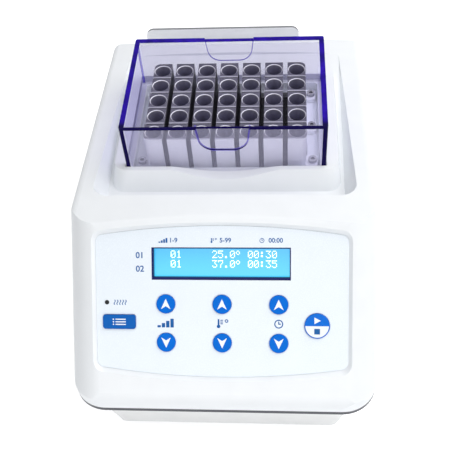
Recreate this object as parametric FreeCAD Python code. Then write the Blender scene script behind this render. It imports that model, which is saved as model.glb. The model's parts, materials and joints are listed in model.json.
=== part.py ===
import FreeCAD, Part
import math
import os
from FreeCAD import Placement, Rotation, Vector

# Dry block heater for small tubes, in millimetres.
# Frame: X to the right, Y to the back, Z up, origin under the middle of the outer box, on the table.

# Case
case_width = 191.0
wall = 3.0
foot_height = 6.0
brow_height = 141.0
upper_case_height = 90.0
deck_fall = 13.0
brow_setback = 95.0
crown = 3.0
side_radius = 6.0
brow_radius = 12.0
nose_radius = 12.0
rear_edge_radius = 2.0
front_corner_radius = 22.0
rear_corner_radius = 6.0

# Sloping control panel, placed by the middle of its display on the overlay's face
panel_angle = 44.5
panel_setback = 62.25
display_below_brow = 19.5
panel_wall = 5.6
panel_side_radius = 20.0
panel_margin = 19.0
overlay_top = 23.0
overlay_bottom = 69.5
overlay_sag = 6.0
overlay_corner = 4.5
overlay_thickness = 0.6
overlay_depth = 2.0
overlay_bevel = 2.4
overlay_gap = 0.2

# Display
display_width = 83.0
display_height = 18.4
display_drop = 4.8
display_margin = 0.5
display_cell_thickness = 1.2
module_width = 98.0
module_height = 36.0
module_thickness = 7.0
module_corner = 1.5
clip_width = 6.0
clip_reach = 1.0

# Keys
key_radius = 5.75
key_columns = (-33.7, 0.6, 34.9)
key_up_s = -24.7
key_down_s = -48.4
program_key_inset = 14.0
program_key_s = -35.9
program_key_width = 20.2
program_key_height = 8.7
program_key_corner = 1.6
start_key_inset = 18.6
start_key_s = -37.4
start_key_radius = 7.6
key_rise = 0.85
key_sink = 0.05
key_gap = 0.3
key_travel = 0.5
stem_radius = 2.3
stem_gap = 0.5
stem_length = 6.4
led_inset = 6.4
led_s = -24.0
led_radius = 1.3
led_rise = 0.4

# Control board behind the panel
board_thickness = 1.6
control_board_margin = 0.5
control_board_top = 21.0
control_board_bottom = 60.0
control_board_gap = 9.0
switch_size = 6.0
switch_height = 3.5
plunger_radius = 1.7
plunger_gap = 0.2
standoff_radius = 3.0
control_standoff_inset = 4.0
control_screw_clear = 2.0
board_corner = 2.0
chip_size = 28.0
chip_s = -38.0
chip_height = 2.0
chip_corner = 0.5
plug_width = 60.0
plug_depth = 6.0
plug_s = 11.0
plug_height = 7.0
header_width = 40.0
header_depth = 3.0
header_s = 13.5
switch_corner = 0.8

# Lid seat, surround and the moat round it
block_setback = 96.5
block_spacing = 115.25
lid_seat_drop = 11.5
lid_width = 130.0
lid_depth = 91.0
lid_height = 38.0
lid_wall = 3.0
lid_corner = 1.5
lid_gap = 0.4
grip_width = 34.0
grip_height = 19.0
grip_depth = 1.2
grip_corner = 9.0
grip_slant = 2.5
surround_rise = 5.0
surround_side_rim = 8.0
surround_rear_rim = 8.5
surround_front_rim = 3.6
surround_front_apron = 10.0
surround_side_draft = 2.5
surround_corner = 9.0
surround_skin = 2.6
scoop_depth = 4.6
scoop_overrun = 10.0
scoop_clearance = 5.0
scoop_width = 100.0
tray_drop = 6.5
tray_floor = 3.0
moat_half_width = 84.5
moat_front = 76.0
moat_rear = 84.0
moat_corner = 12.0
moat_draft = 25.0
moat_depth_front = 17.0
moat_depth_rear = 1.2
opening_gap = 1.0

# Heated block
block_width = 105.2
block_depth = 76.6
block_height = 45.0
block_stand = 21.5
block_corner = 4.0
well_columns = 7
well_rows = 5
well_pitch_x = 15.5
well_pitch_y = 15.4
well_radius = 5.4
well_depth = 34.0
well_tip_radius = 2.2
well_chamfer = 0.4
slot_width = 3.2
slot_depth = 31.0
groove_width = 1.0
groove_depth = 1.2
ear_length = 7.6
ear_width = 10.0
ear_thickness = 3.0
ear_pitch = 33.0
ear_screw_shift = 0.4
block_gap = 1.0
mat_thickness = 1.2
mat_inset = 2.5
pad_thickness = 8.0
pad_inset = 0.5
mat_corner = 3.0
bracket_sheet = 1.5
bracket_gap = 1.5
bracket_flange = 7.0
bracket_screw_bite = 2.2
sensor_radius = 2.0
sensor_length = 26.0
sensor_x = -20.0
sensor_rise = 5.0
sensor_stub = 3.0
sensor_end_gap = 0.5
cutout_radius = 7.5
cutout_height = 5.0
cutout_gap = 0.5
cutout_edge = 1.0

# Fasteners
screw_radius = 1.5
screw_fit = 0.1
head_radius = 2.8
head_height = 2.2
recess_width = 0.6
recess_depth = 0.8
recess_length = 3.2
hex_radius = 1.45
hex_floor = 0.8
block_screw_length = 5.0
case_screw_length = 12.0
boss_radius = 3.6
boss_gap = 0.4
boss_height = 22.0
boss_front = 52.0
boss_rear = 30.0

# Base pan and feet
pan_wall = 2.5
pan_bottom_half_width = 75.0
pan_top_half_width = 84.5
pan_front_inset = 14.5
pan_front_draft = 6.0
pan_rear_inset = 5.0
pan_rear_draft = 3.0
pan_corner = 6.0
pan_flange = 3.0
skirt_gap = 0.3
vent_count = 7
vent_length = 46.0
vent_width = 3.0
vent_pitch = 8.0
vent_y = -60.0
foot_radius = 9.0
foot_tip_radius = 7.6
foot_bore_radius = 4.0
foot_bore_depth = 3.2
foot_x = 58.0
foot_front = 34.0
foot_rear = 28.0
foot_screw_bite = 1.5

# Power board
power_board_width = 124.0
power_board_depth = 88.0
power_board_y = 52.0
power_board_lift = 7.5
power_hole_inset = 5.0
board_screw_bite = 5.0
relay_x = 20.0
relay_front = 30.0
relay_width = 20.0
relay_depth = 16.0
relay_height = 16.0
terminal_x = -14.0
terminal_width = 28.0
terminal_depth = 10.0
terminal_inset = 4.0
terminal_height = 11.0
transformer_front = 6.0
bobbin_low = 3.0
bobbin_drop = 5.0
bobbin_corner = 4.0
transformer_size = 40.0
transformer_height = 30.0
core_thickness = 14.0
sink_fins = 6
sink_pitch = 5.0
sink_fin = 1.4
sink_height = 24.0
sink_length = 36.0
sink_base = 3.0
sink_back = 8.0
capacitor_radius = 6.0
capacitor_height = 18.0
capacitor_back = 24.0
capacitor_gap = 2.0
capacitor_edge = 1.0

# Rear plate, mains inlet and mains switch
plate_thickness = 2.0
plate_left = -68.0
plate_right = 49.0
plate_clearance = 6.0
plate_stand = 10.0
plate_corner = 6.0
plate_screw_inset = 7.0
bezel_thickness = 1.5
rear_cut_gap = 0.3
inlet_x = -38.0
inlet_rise = 27.0
inlet_width = 27.0
inlet_height = 19.8
inlet_rim = 2.0
inlet_corner = 3.0
inlet_body_corner = 1.0
inlet_depth = 20.0
socket_width = 24.0
socket_height = 16.4
socket_depth = 15.5
socket_bevel = 4.0
socket_corner = 1.5
socket_bevel_corner = 1.0
pin_width = 2.0
pin_height = 4.0
pin_length = 13.0
pin_corner = 0.4
pin_spread = 7.0
pin_drop = 1.5
earth_rise = 3.0
power_switch_x = 4.0
power_switch_rise = 27.0
power_switch_width = 13.0
power_switch_height = 17.0
power_switch_rim = 1.6
power_switch_depth = 14.0
switch_bezel_corner = 1.5
switch_body_corner = 0.8
rocker_width = 9.6
rocker_half = 5.2
rocker_gap = 0.4
rocker_end_gap = 1.04
rocker_taper = 0.85
rocker_dish = 8.0
rocker_pivot_depth = 4.0
rocker_tip = 0.8
rocker_back = 3.0
rocker_tilt = 8.0
rocker_pin_radius = 1.0
rocker_pin_gap = 0.05
rocker_pin_length = 1.2
rocker_pin_float = 0.2
rocker_proud = 1.31

# Places worked out from the sizes above
case_depth = panel_setback + block_spacing + block_setback
rear_projection = plate_thickness + bezel_thickness + rocker_proud
front_y = -(case_depth + rear_projection) / 2
rear_y = front_y + case_depth
plate_face = rear_y + plate_thickness
bezel_face = plate_face + bezel_thickness
split_z = brow_height - upper_case_height
pan_height = split_z - foot_height
rear_height = brow_height - deck_fall
panel_height = brow_height - display_below_brow
lid_seat_height = brow_height - lid_seat_drop
plate_bottom = split_z + plate_clearance
plate_top = rear_height + plate_stand
inlet_z = plate_bottom + inlet_rise
power_switch_z = plate_bottom + power_switch_rise
half_width = case_width / 2
overlay_half_width = half_width - panel_margin
control_board_half_width = overlay_half_width - control_board_margin
program_key_x = program_key_inset - overlay_half_width
start_key_x = overlay_half_width - start_key_inset
led_x = led_inset - overlay_half_width
top_slope = (brow_height - rear_height) / (case_depth - brow_setback)
panel_y = front_y + panel_setback
panel_tilt = math.radians(panel_angle)
pocket_depth = overlay_depth + overlay_thickness
panel_inside = -(panel_wall - overlay_depth)
cell_seat = -display_drop - display_cell_thickness
block_y = rear_y - block_setback
block_top = lid_seat_height + block_stand
block_bottom = block_top - block_height
tray_z = lid_seat_height - tray_drop
tray_under = tray_z - tray_floor
surround_top = lid_seat_height + surround_rise
moat_front_y = block_y - moat_front
moat_rear_y = block_y + moat_rear
lid_half_x = lid_width / 2
lid_half_y = lid_depth / 2
tub_half_x = lid_half_x + lid_gap + surround_skin
tub_half_y = lid_half_y + lid_gap + surround_skin
pan_floor = foot_height + pan_wall
far = 400.0


def surface_z(y):
    """Height of the case's top surface on its centre line."""
    return rear_height + (rear_y - y) * top_slope


def box(x0, x1, y0, y1, z0, z1):
    return Part.makeBox(x1 - x0, y1 - y0, z1 - z0, Vector(x0, y0, z0))


def block_at(x, y, width, depth, z0, z1):
    return box(x - width / 2, x + width / 2, y - depth / 2, y + depth / 2, z0, z1)


def post(x, y, z0, z1, radius):
    return Part.makeCylinder(radius, z1 - z0, Vector(x, y, z0))


def outline(points, radii):
    """Closed wire through the points, each corner rounded by its radius."""
    count = len(points)
    ends = []
    edges = []
    for index, corner in enumerate(points):
        radius = radii[index]
        back = (points[index - 1] - corner).normalize()
        ahead = (points[(index + 1) % count] - corner).normalize()
        half = back.getAngle(ahead) / 2
        if radius <= 0:
            ends.append((corner, corner))
            continue
        reach = radius / math.tan(half)
        first = corner + back * reach
        last = corner + ahead * reach
        middle = corner + (back + ahead).normalize() * (radius / math.sin(half) - radius)
        edges.append((index, Part.Arc(first, middle, last).toShape()))
        ends.append((first, last))
    arcs = dict(edges)
    path = []
    for index in range(count):
        if index in arcs:
            path.append(arcs[index])
        start = ends[index][1]
        stop = ends[(index + 1) % count][0]
        if start.distanceToPoint(stop) > 1e-6:
            path.append(Part.LineSegment(start, stop).toShape())
    return Part.Wire(path)


def rectangle(x0, x1, y0, y1, z, radii):
    points = [Vector(x0, y0, z), Vector(x1, y0, z), Vector(x1, y1, z), Vector(x0, y1, z)]
    return outline(points, radii)


def slab(x0, x1, y0, y1, z0, z1, radius):
    wire = rectangle(x0, x1, y0, y1, z0, [radius] * 4)
    return Part.Face(wire).extrude(Vector(0, 0, z1 - z0))


def profile_bar(points, radii, half):
    """Side outline of (y, z) points, run across the case from -half to half."""
    wire = outline([Vector(-half, y, z) for y, z in points], radii)
    return Part.Face(wire).extrude(Vector(2 * half, 0, 0))


def crossing(p, d, q, e):
    """Point where the line at p along d meets the line at q along e, in (y, z)."""
    scale = ((q[0] - p[0]) * e[1] - (q[1] - p[1]) * e[0]) / (d[0] * e[1] - d[1] * e[0])
    return (p[0] + d[0] * scale, p[1] + d[1] * scale)


def fuse(shapes):
    whole = shapes[0]
    if len(shapes) > 1:
        whole = whole.fuse(shapes[1:])
    return whole.removeSplitter()


def on_panel(shape):
    """Moves a shape drawn on the panel (x, s up the slope, w out of it) into the case's frame."""
    shape = shape.copy()
    turn = Rotation(Vector(1, 0, 0), panel_angle)
    shape.Placement = Placement(Vector(0, panel_y, panel_height), turn).multiply(shape.Placement)
    return shape


def crown_tunnel(inset):
    """Everything under the crowned top, between the sides, with the long edges rounded."""
    half = half_width - inset
    left = Vector(-half, -far, -crown)
    right = Vector(half, -far, -crown)
    drop = Vector(0, 0, -far)
    arc = Part.Arc(left, Vector(0, -far, 0), right).toShape()
    walls = [(right, right + drop), (right + drop, left + drop), (left + drop, left)]
    wire = Part.Wire([arc] + [Part.LineSegment(a, b).toShape() for a, b in walls])
    body = Part.Face(wire).extrude(Vector(0, 2 * far, 0))
    long_edges = []
    for edge in body.Edges:
        middle = edge.BoundBox.Center
        if abs(middle.y) < 1 and abs(middle.z + crown) < 1e-3:
            long_edges.append(edge)
    body = body.makeFillet(side_radius - inset, long_edges)
    turn = Rotation(Vector(1, 0, 0), -math.degrees(math.atan(top_slope)))
    lower = inset * math.sqrt(1 + top_slope ** 2)
    body.Placement = Placement(Vector(0, rear_y, rear_height - lower), turn)
    return body


def panel_tunnel(inset, depth):
    """Everything behind the panel's frame, with its side edges rounded."""
    half = half_width - inset
    radius = panel_side_radius - inset
    low = Vector(-half, -far, -far)
    points = [low, Vector(half, -far, -far), Vector(half, -far, overlay_depth - depth)]
    points.append(Vector(-half, -far, overlay_depth - depth))
    wire = outline(points, [0, 0, radius, radius])
    return on_panel(Part.Face(wire).extrude(Vector(0, 2 * far, 0)))


def plan_tunnel(inset, low):
    front = front_corner_radius - inset
    rear = rear_corner_radius - inset
    half = half_width - inset
    wire = rectangle(-half, half, front_y + inset, rear_y - inset, low, [front, front, rear, rear])
    return Part.Face(wire).extrude(Vector(0, 0, far))


def case_form(inset, depth, low):
    """Solid form of the case, set in by the wall, and by its own depth at the panel."""
    slope = (math.cos(panel_tilt), math.sin(panel_tilt))
    out = overlay_depth - depth
    on_face = (panel_y - slope[1] * out, panel_height + slope[0] * out)
    top = (rear_y, rear_height - inset * math.sqrt(1 + top_slope ** 2))
    fall = (1.0, -top_slope)
    up = (0.0, 1.0)
    rear_top = crossing(top, fall, (rear_y - inset, 0), up)
    brow = crossing(top, fall, on_face, slope)
    nose = crossing(on_face, slope, (front_y + inset, 0), up)
    points = [(front_y + inset, low), nose, brow, rear_top, (rear_y - inset, low)]
    radii = [0, nose_radius - inset, brow_radius - inset, rear_edge_radius - inset, 0]
    body = profile_bar(points, radii, half_width - inset)
    for tunnel in (crown_tunnel(inset), panel_tunnel(inset, depth), plan_tunnel(inset, low)):
        body = body.common(tunnel)
    return body


def moat_floor(drop):
    """Half space above the moat's floor, which rises to the top surface at the back."""
    front_z = surface_z(moat_front_y) - moat_depth_front - drop
    rear_z = surface_z(moat_rear_y) - moat_depth_rear - drop
    rise = (rear_z - front_z) / (moat_rear_y - moat_front_y)
    ends = [(y, front_z + rise * (y - moat_front_y)) for y in (-far, far)]
    points = [ends[0], ends[1], (far, far), (-far, far)]
    return profile_bar(points, [0] * 4, far)


def moat_form(grow):
    """Drafted hollow round the surround, grown by the wall for its outside."""
    sides = []
    for z in (surface_z(moat_front_y) - moat_depth_front - wall - 1, surface_z(moat_front_y) + wall):
        out = (z - surface_z(moat_front_y)) * math.tan(math.radians(moat_draft)) + grow
        half = moat_half_width + out
        radius = moat_corner + out
        sides.append(rectangle(-half, half, moat_front_y - out, moat_rear_y + out, z, [radius] * 4))
    return Part.makeLoft(sides, True, True).common(moat_floor(grow))


def barrel(grow, low, high):
    """Overlay's outline with arched top and bottom, as a solid on the panel."""
    half = overlay_half_width + grow
    top = overlay_top + grow
    bottom = -overlay_bottom - grow
    corners = [Vector(half, top - overlay_sag, low), Vector(-half, top - overlay_sag, low)]
    corners += [Vector(-half, bottom + overlay_sag, low), Vector(half, bottom + overlay_sag, low)]
    edges = [Part.Arc(corners[0], Vector(0, top, low), corners[1]).toShape()]
    edges.append(Part.LineSegment(corners[1], corners[2]).toShape())
    edges.append(Part.Arc(corners[2], Vector(0, bottom, low), corners[3]).toShape())
    edges.append(Part.LineSegment(corners[3], corners[0]).toShape())
    body = Part.Face(Part.Wire(edges)).extrude(Vector(0, 0, high - low))
    upright = [edge for edge in body.Edges if abs(abs(edge.tangentAt(edge.FirstParameter).z) - 1) < 1e-6]
    return body.makeFillet(overlay_corner + grow, upright)


def rim_wire(body, z):
    """Outer wire of a solid's flat face at height z."""
    level = [face for face in body.Faces if face.BoundBox.ZLength < 1e-6]
    return min(level, key=lambda face: abs(face.BoundBox.ZMin - z)).OuterWire


def panel_pocket():
    """Pocket for the overlay, with bevelled walls out to the frame."""
    floor = -overlay_thickness
    seat = rim_wire(barrel(overlay_gap, floor, floor + 1), floor)
    flare = overlay_bevel * 2
    mouth_z = floor + pocket_depth * 2
    mouth = rim_wire(barrel(overlay_gap + flare, mouth_z, mouth_z + 1), mouth_z)
    return Part.makeLoft([seat, mouth], True, True)


def display_form(grow, low, high):
    """Display's window on the panel, grown on every side."""
    return block_at(0, 0, display_width + 2 * grow, display_height + 2 * grow, low, high)


def key_places():
    """Round keys by node name: place on the panel and radius."""
    places = {}
    for name, x in zip(("segment", "temperature", "time"), key_columns):
        places[name + "_up_key"] = (x, key_up_s, key_radius)
        places[name + "_down_key"] = (x, key_down_s, key_radius)
    places["start_stop_key"] = (start_key_x, start_key_s, start_key_radius)
    return places


def stem_places():
    places = [(x, s) for x, s, radius in key_places().values()]
    places.append((program_key_x, program_key_s))
    return places


def program_form(grow, low, high):
    half_x = program_key_width / 2 + grow
    half_s = program_key_height / 2 + grow
    corner = program_key_corner + grow
    x, s = program_key_x, program_key_s
    return slab(x - half_x, x + half_x, s - half_s, s + half_s, low, high, corner)


def key_shapes():
    """Key caps with the stems that reach the switches behind the panel."""
    shapes = {}
    for name, (x, s, radius) in key_places().items():
        cap = post(x, s, -key_sink, key_rise, radius)
        crest = [edge for edge in cap.Edges if abs(edge.BoundBox.ZMin - key_rise) < 1e-6]
        cap = cap.makeFillet(key_rise / 3, crest)
        shapes[name] = fuse([cap, post(x, s, -stem_length, 0, stem_radius)])
    cap = program_form(0, -key_sink, key_rise)
    stem = post(program_key_x, program_key_s, -stem_length, 0, stem_radius)
    shapes["program_key"] = fuse([cap, stem])
    return {name: on_panel(shape) for name, shape in shapes.items()}


def case_screw_places():
    x = half_width - wall - skirt_gap - boss_radius - boss_gap
    ys = (front_y + boss_front, rear_y - boss_rear)
    return [(side * x, y) for side in (-1, 1) for y in ys]


def plate_screw_places():
    xs = (plate_left + plate_screw_inset, plate_right - plate_screw_inset)
    zs = (plate_bottom + plate_screw_inset, surface_z(rear_y) - crown - 3 * plate_screw_inset)
    return [(x, z) for x in xs for z in zs]


def rear_hole(x, z, width, height, grow, y0, y1):
    half_x = width / 2 + grow
    half_z = height / 2 + grow
    return box(x - half_x, x + half_x, y0, y1, z - half_z, z + half_z)


def rear_holes(grow):
    """Cut-outs for the inlet and the switch, through the plate and the rear wall."""
    y0 = rear_y - 2 * wall
    y1 = plate_face + 1
    inlet = rear_hole(inlet_x, inlet_z, inlet_width, inlet_height, grow, y0, y1)
    switch = rear_hole(power_switch_x, power_switch_z, power_switch_width, power_switch_height, grow, y0, y1)
    return [inlet, switch]


def rear_bar(x, z, y0, y1, radius):
    return Part.makeCylinder(radius, y1 - y0, Vector(x, y0, z), Vector(0, 1, 0))


def upper_housing():
    shell = case_form(0, 0, split_z).cut(case_form(wall, panel_wall, split_z - 1))
    tub = moat_form(wall).common(case_form(0, 0, split_z))
    parts = [shell, tub]
    for x, y in case_screw_places():
        base = split_z + pan_flange
        side = math.copysign(half_width - wall / 2, x)
        low_x, high_x = sorted((x, side))
        rib = box(low_x, high_x, y - wall / 2, y + wall / 2, base, base + boss_height)
        parts += [post(x, y, base, base + boss_height, boss_radius), rib]
    body = fuse(parts)
    half_x = tub_half_x + opening_gap
    half_y = tub_half_y + opening_gap
    cuts = [moat_form(0), box(-half_x, half_x, block_y - half_y, block_y + half_y, split_z, far)]
    for x, y in case_screw_places():
        base = split_z + pan_flange
        cuts.append(post(x, y, base - 1, base + case_screw_length, screw_radius + screw_fit))
    for x, z in plate_screw_places():
        cuts.append(rear_bar(x, z, rear_y - wall - 1, rear_y + 1, screw_radius + screw_fit))
    cuts += rear_holes(rear_cut_gap)
    panel_cuts = [panel_pocket(), display_form(display_margin, -far / 8, 1)]
    for x, s in stem_places():
        panel_cuts.append(post(x, s, -far / 8, 1, stem_radius + stem_gap))
    panel_cuts.append(post(led_x, led_s, -far / 8, 1, led_radius + screw_fit))
    cuts += [on_panel(shape) for shape in panel_cuts]
    return body.cut(cuts)


def panel_overlay():
    body = barrel(0, -overlay_thickness, 0)
    cuts = [display_form(0, -1, 1), program_form(key_gap, -1, 1)]
    for x, s, radius in key_places().values():
        cuts.append(post(x, s, -1, 1, radius + key_gap))
    cuts.append(post(led_x, led_s, -1, 1, led_radius + screw_fit))
    return on_panel(body.cut(cuts))


def lcd_cell():
    return on_panel(display_form(display_margin / 2, cell_seat, -display_drop))


def lcd_module():
    half_w = module_width / 2
    half_h = module_height / 2
    low = panel_inside - module_thickness
    frame = slab(-half_w, half_w, -half_h, half_h, low, panel_inside, module_corner)
    reach = module_height + 2 * clip_reach
    clip_top = low + module_thickness / 2
    clips = [block_at(x, 0, clip_width, reach, low, clip_top) for x in (-half_w / 2, half_w / 2)]
    return on_panel(fuse([frame] + clips).cut(display_form(display_margin, cell_seat, 1)))


def heating_led():
    lens = post(led_x, led_s, -overlay_thickness, led_rise, led_radius)
    crest = [edge for edge in lens.Edges if abs(edge.BoundBox.ZMin - led_rise) < 1e-6]
    lens = lens.makeFillet(led_rise * 0.8, crest)
    lead = post(led_x, led_s, panel_inside - control_board_gap, 0, led_radius * 0.7)
    return on_panel(fuse([lens, lead]))


def control_standoff_places():
    x = control_board_half_width - control_standoff_inset
    tops = (control_board_top - control_standoff_inset, -control_board_bottom + control_standoff_inset)
    return [(side * x, s) for side in (-1, 1) for s in tops]


def control_board():
    half = control_board_half_width
    top_w = panel_inside - control_board_gap
    under = top_w - board_thickness
    board = slab(-half, half, -control_board_bottom, control_board_top, under, top_w, board_corner)
    edge = chip_size / 2
    chip = slab(-edge, edge, chip_s - edge, chip_s + edge, under - chip_height, under, chip_corner)
    plug = block_at(0, plug_s, plug_width, plug_depth, under - plug_height, under)
    header = block_at(0, header_s, header_width, header_depth, top_w, panel_inside - module_thickness)
    body = fuse([board, chip, plug, header])
    holes = []
    for x, s in control_standoff_places():
        holes.append(post(x, s, under - 1, top_w + 1, screw_radius + screw_fit))
    return on_panel(body.cut(holes))


def tact_switches():
    top_w = panel_inside - control_board_gap
    half = switch_size / 2
    shapes = []
    for x, s in stem_places():
        body = slab(x - half, x + half, s - half, s + half, top_w, top_w + switch_height, switch_corner)
        tip = -stem_length - key_travel - plunger_gap
        shapes.append(fuse([body, post(x, s, top_w + switch_height, tip, plunger_radius)]))
    return on_panel(Part.makeCompound(shapes))


def control_standoffs():
    top_w = panel_inside - control_board_gap
    shapes = []
    for x, s in control_standoff_places():
        bar = post(x, s, top_w, panel_inside, standoff_radius)
        shapes.append(bar.cut(post(x, s, top_w - 1, panel_inside - 1, screw_radius + screw_fit)))
    return on_panel(Part.makeCompound(shapes))


def screw(x, y, seat, length):
    """Pan-head screw that enters upwards from its seat."""
    head = post(x, y, seat - head_height, seat, head_radius)
    crest = [edge for edge in head.Edges if abs(edge.BoundBox.ZMax - (seat - head_height)) < 1e-6]
    head = head.makeFillet(head_height * 0.45, crest)
    shank = post(x, y, seat, seat + length, screw_radius)
    tip = seat - head_height
    slot = block_at(x, y, 2 * head_radius, recess_width, tip - 1, tip + recess_depth)
    cross = block_at(x, y, recess_width, 2 * head_radius, tip - 1, tip + recess_depth)
    return fuse([head, shank]).cut([slot, cross])


def screws_at(places, seat, length):
    return Part.makeCompound([screw(x, y, seat, length) for x, y in places])


def control_screws():
    seat = panel_inside - control_board_gap - board_thickness
    length = board_thickness + control_board_gap - control_screw_clear
    return on_panel(screws_at(control_standoff_places(), seat, length))


def lid():
    low = lid_seat_height
    high = low + lid_height
    x, y = lid_half_x, lid_half_y
    shell = slab(-x, x, block_y - y, block_y + y, low, high, lid_corner)
    walls = 2 * lid_wall
    cuts = [block_at(0, block_y, lid_width - walls, lid_depth - walls, low - 1, high - lid_wall)]
    half = grip_width / 2
    foot = half - grip_slant
    for side in (-1, 1):
        face = block_y + side * y
        points = [Vector(-half, face, high + 1), Vector(half, face, high + 1)]
        points += [Vector(foot, face, high - grip_height), Vector(-foot, face, high - grip_height)]
        wire = outline(points, [0, 0, grip_corner, grip_corner])
        cuts.append(Part.Face(wire).extrude(Vector(0, -side * grip_depth, 0)))
        cuts.append(Part.Face(wire).extrude(Vector(0, side, 0)))
    return shell.cut(cuts)


def surround_wire(z, half_x, front, rear, radius):
    return rectangle(-half_x, half_x, block_y - front, block_y + rear, z, [radius] * 4)


def surround_form(inset):
    """Outside of the surround: drafted sides and a sloping apron at the front."""
    half = lid_half_x + surround_side_rim - inset
    front = lid_half_y + surround_front_rim - inset
    rear = lid_half_y + surround_rear_rim - inset
    low = surface_z(moat_front_y) - moat_depth_front - wall
    drop = surround_top - low
    radius = max(surround_corner - inset, 1)
    top = surround_wire(surround_top - inset, half, front, rear, radius)
    base = surround_wire(
        low, half + surround_side_draft, front + surround_front_apron * drop / (drop - wall),
        rear + surround_side_draft, radius)
    return Part.makeLoft([base, top], True, True)


def scoop():
    """Soft wave that lowers the middle of the surround's front rim."""
    half = scoop_width / 2
    front = block_y - lid_half_y - surround_front_rim - surround_front_apron - scoop_overrun
    marks = [(-half, 0), (-half * 0.6, -0.18), (-half * 0.25, -0.85), (0, -1.0)]
    marks += [(half * 0.25, -0.85), (half * 0.6, -0.18), (half, 0)]
    curve = Part.BSplineCurve()
    curve.interpolate([Vector(x, front, surround_top + share * scoop_depth) for x, share in marks])
    left, right = Vector(-half, front, surround_top), Vector(half, front, surround_top)
    lift = Vector(0, 0, scoop_clearance)
    sides = [(right, right + lift), (right + lift, left + lift), (left + lift, left)]
    wire = Part.Wire([curve.toShape()] + [Part.LineSegment(a, b).toShape() for a, b in sides])
    reach = block_y - lid_half_y + lid_wall - front
    return Part.Face(wire).extrude(Vector(0, reach, 0))


def ear_places():
    return [(side, block_y + step * ear_pitch) for side in (-1, 1) for step in (-1, 0, 1)]


def block_screw_x():
    return block_width / 2 + ear_length / 2 + ear_screw_shift


def lid_surround():
    tub = block_at(0, block_y, 2 * tub_half_x, 2 * tub_half_y, tray_under, lid_seat_height)
    rim = surround_form(0).common(moat_floor(0))
    hollow = surround_form(surround_skin)
    hollow = hollow.common(box(-far, far, -far, far, 0, lid_seat_height - surround_skin))
    outside = fuse([rim.cut(hollow), tub])
    x, y = lid_half_x + lid_gap, lid_half_y + lid_gap
    seat = box(-x, x, block_y - y, block_y + y, lid_seat_height, far)
    x, y = lid_half_x - lid_wall - lid_gap, lid_half_y - lid_wall - lid_gap
    tray = slab(-x, x, block_y - y, block_y + y, tray_z, far, surround_skin)
    x, y = block_width / 2 + block_gap, block_depth / 2 + block_gap
    well = slab(-x, x, block_y - y, block_y + y, tray_under - 1, far, block_corner + block_gap)
    cuts = [seat, tray, well, scoop()]
    for side, place in ear_places():
        cuts.append(post(side * block_screw_x(), place, tray_under - 1, far, screw_radius + screw_fit))
    hole = screw_radius + screw_fit
    for x, y in bracket_screw_places():
        cuts.append(post(x, y, tray_under - 1, tray_under + bracket_screw_bite + 2 * screw_fit, hole))
    return outside.cut(cuts)


def well_cutter(x, y):
    """Round well for a tapered tube, with a cone at its foot and a broken edge at its mouth."""
    foot = block_top - well_depth
    cone_top = foot + well_radius - well_tip_radius
    points = [(0, block_top + 1), (well_radius + well_chamfer + 1, block_top + 1)]
    points += [(well_radius, block_top - well_chamfer), (well_radius, cone_top)]
    points += [(well_tip_radius, foot), (0, foot)]
    corners = [Vector(x + r, y, z) for r, z in points]
    face = Part.Face(Part.makePolygon(corners + corners[:1]))
    return face.revolve(Vector(x, y, 0), Vector(0, 0, 1), 360)


def column_x(index):
    return (index - (well_columns - 1) / 2) * well_pitch_x


def row_y(index):
    return block_y + (index - (well_rows - 1) / 2) * well_pitch_y


def heating_block():
    x, y = block_width / 2, block_depth / 2
    body = slab(-x, x, block_y - y, block_y + y, block_bottom, block_top, block_corner)
    ears = []
    ear_z = tray_z
    for side, place in ear_places():
        ends = sorted((side * (x - 1), side * (x + ear_length)))
        low, high = place - ear_width / 2, place + ear_width / 2
        ears.append(slab(ends[0], ends[1], low, high, ear_z, ear_z + ear_thickness, ear_width / 4))
    body = fuse([body] + ears)
    cuts = []
    hole = screw_radius + screw_fit
    for side, place in ear_places():
        cuts.append(post(side * block_screw_x(), place, ear_z - 1, ear_z + ear_thickness + 1, hole))
    for index in range(well_columns - 1):
        middle = column_x(index) + well_pitch_x / 2
        cuts.append(block_at(middle, block_y, slot_width, far, block_top - slot_depth, far))
    for index in range(well_rows - 1):
        middle = row_y(index) + well_pitch_y / 2
        cuts.append(block_at(0, middle, far, groove_width, block_top - groove_depth, far))
    for column in range(well_columns):
        for row in range(well_rows):
            cuts.append(well_cutter(column_x(column), row_y(row)))
    hole_z = block_bottom + sensor_rise
    hole_end = block_y + y - sensor_length
    cuts.append(rear_bar(sensor_x, hole_z, hole_end, block_y + y + 1, sensor_radius + screw_fit))
    return body.cut(cuts)


def block_screws():
    """Socket-head screws that hold the block's ears down on the tray."""
    shapes = []
    seat = tray_z + ear_thickness
    for side, y in ear_places():
        x = side * block_screw_x()
        head = post(x, y, seat, seat + head_height, head_radius)
        shank = post(x, y, seat - block_screw_length, seat, screw_radius)
        turns = [math.radians(60 * step) for step in range(6)]
        middle = Vector(x, y, seat + hex_floor)
        hexagon = [middle + Vector(math.cos(turn), math.sin(turn), 0) * hex_radius for turn in turns]
        socket = Part.Face(Part.makePolygon(hexagon + hexagon[:1])).extrude(Vector(0, 0, far))
        shapes.append(fuse([head, shank]).cut(socket))
    return Part.makeCompound(shapes)


def heater_mat():
    x, y = block_width / 2 - mat_inset, block_depth / 2 - mat_inset
    return slab(-x, x, block_y - y, block_y + y, block_bottom - mat_thickness, block_bottom, mat_corner)


def pad_top():
    return block_bottom - mat_thickness


def insulation_pad():
    x, y = block_width / 2 - pad_inset, block_depth / 2 - pad_inset
    pad = slab(-x, x, block_y - y, block_y + y, pad_top() - pad_thickness, pad_top(), mat_corner)
    return pad.cut(post(0, block_y, pad_top() - cutout_height, pad_top() + 1, cutout_radius + cutout_gap))


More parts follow.
